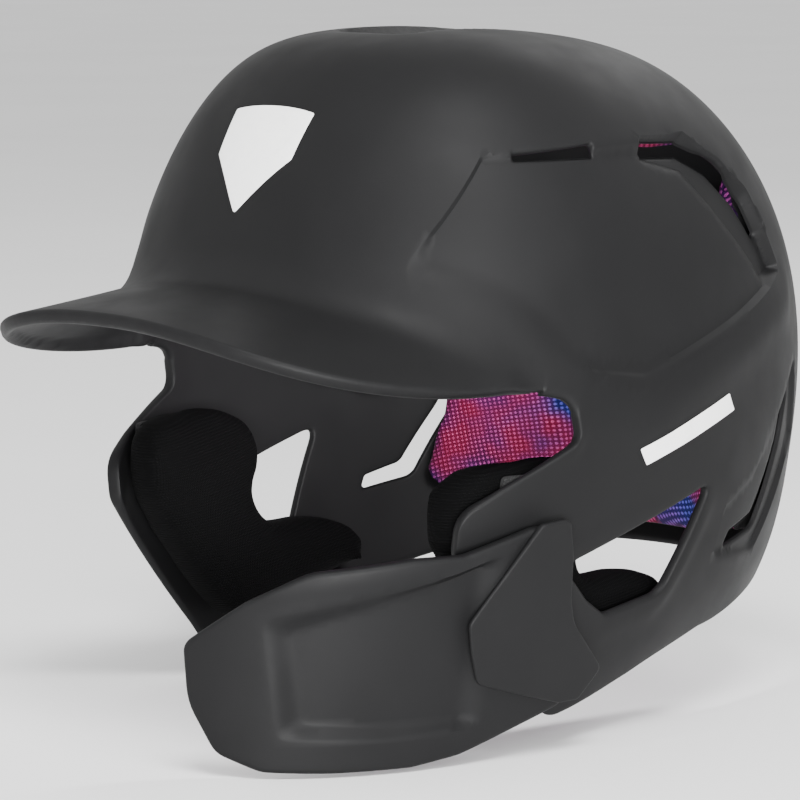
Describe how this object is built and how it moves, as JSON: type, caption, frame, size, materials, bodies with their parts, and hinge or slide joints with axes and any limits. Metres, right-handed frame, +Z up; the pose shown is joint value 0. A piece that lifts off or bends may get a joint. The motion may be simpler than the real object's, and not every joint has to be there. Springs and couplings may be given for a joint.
{
  "type": "batting helmet with jaw guard",
  "caption": "Hard-shell batting helmet with brim, ear flaps, ventilation slots, padded liner and a screwed-on jaw guard on one side.",
  "frame": {"origin": "centre of the helmet's outline in plan, on the level of the lowest point of the jaw guard", "axes": "+Z up, -Y is the way the wearer faces, +X is the wearer's left, where the jaw guard is"},
  "size_m": [0.2041, 0.2857, 0.2238],
  "materials": {
    "shell_plastic": "matte charcoal, finely textured",
    "guard_plastic": "matte charcoal, finely textured",
    "zinc_steel": "zinc plated",
    "ear_mesh": "black ribbed spacer mesh",
    "liner_fabric": "knitted fabric with a printed dot pattern",
    "hook_and_loop": "black hook-and-loop tape",
    "guard_foam": "closed-cell foam",
    "white_vinyl": "smooth white decal"
  },
  "bodies": {
    "shell": {"outer_shell": "shell_plastic", "left_ear_pad": "ear_mesh", "right_ear_pad": "ear_mesh", "left_ear_tape": "hook_and_loop", "right_ear_tape": "hook_and_loop", "front_pad": "liner_fabric", "front_tape": "hook_and_loop", "left_side_pad": "liner_fabric", "left_side_tape": "hook_and_loop", "right_side_pad": "liner_fabric", "right_side_tape": "hook_and_loop", "rear_pad": "liner_fabric", "rear_tape": "hook_and_loop", "crown_pad": "liner_fabric", "crown_tape": "hook_and_loop", "tee_nut_upper": "zinc_steel", "tee_nut_front": "zinc_steel", "tee_nut_lower": "zinc_steel", "front_mark": "white_vinyl", "left_mark": "white_vinyl", "right_mark": "white_vinyl"},
    "jaw_guard": {"jaw_guard": "guard_plastic", "jaw_guard_pad": "guard_foam", "washer_upper": "zinc_steel", "washer_front": "zinc_steel", "washer_lower": "zinc_steel"},
    "cover_plate": {"cover_plate": "guard_plastic"},
    "screw_upper": {"guard_screw_upper": "zinc_steel"},
    "screw_front": {"guard_screw_front": "zinc_steel"},
    "screw_lower": {"guard_screw_lower": "zinc_steel"}
  },
  "joints": [
    {"name": "guard_off", "type": "slide", "parent": "shell", "child": "jaw_guard", "axis": [0.9783, -0.0969, -0.1832], "range_m": [0, 0.05]},
    {"name": "cover_off", "type": "slide", "parent": "jaw_guard", "child": "cover_plate", "axis": [0.9783, -0.0969, -0.1832], "range_m": [0, 0.03]},
    {"name": "screw_upper_turn", "type": "hinge", "parent": "jaw_guard", "child": "screw_upper", "pos_m": [0.09606, -0.04392, 0.0654], "axis": [0.9783, -0.0969, -0.1832], "continuous": true},
    {"name": "screw_front_turn", "type": "hinge", "parent": "jaw_guard", "child": "screw_front", "pos_m": [0.09002, -0.05682, 0.0414], "axis": [0.9783, -0.0969, -0.1832], "continuous": true},
    {"name": "screw_lower_turn", "type": "hinge", "parent": "jaw_guard", "child": "screw_lower", "pos_m": [0.08976, -0.03793, 0.0294], "axis": [0.9783, -0.0969, -0.1832], "continuous": true}
  ]
}
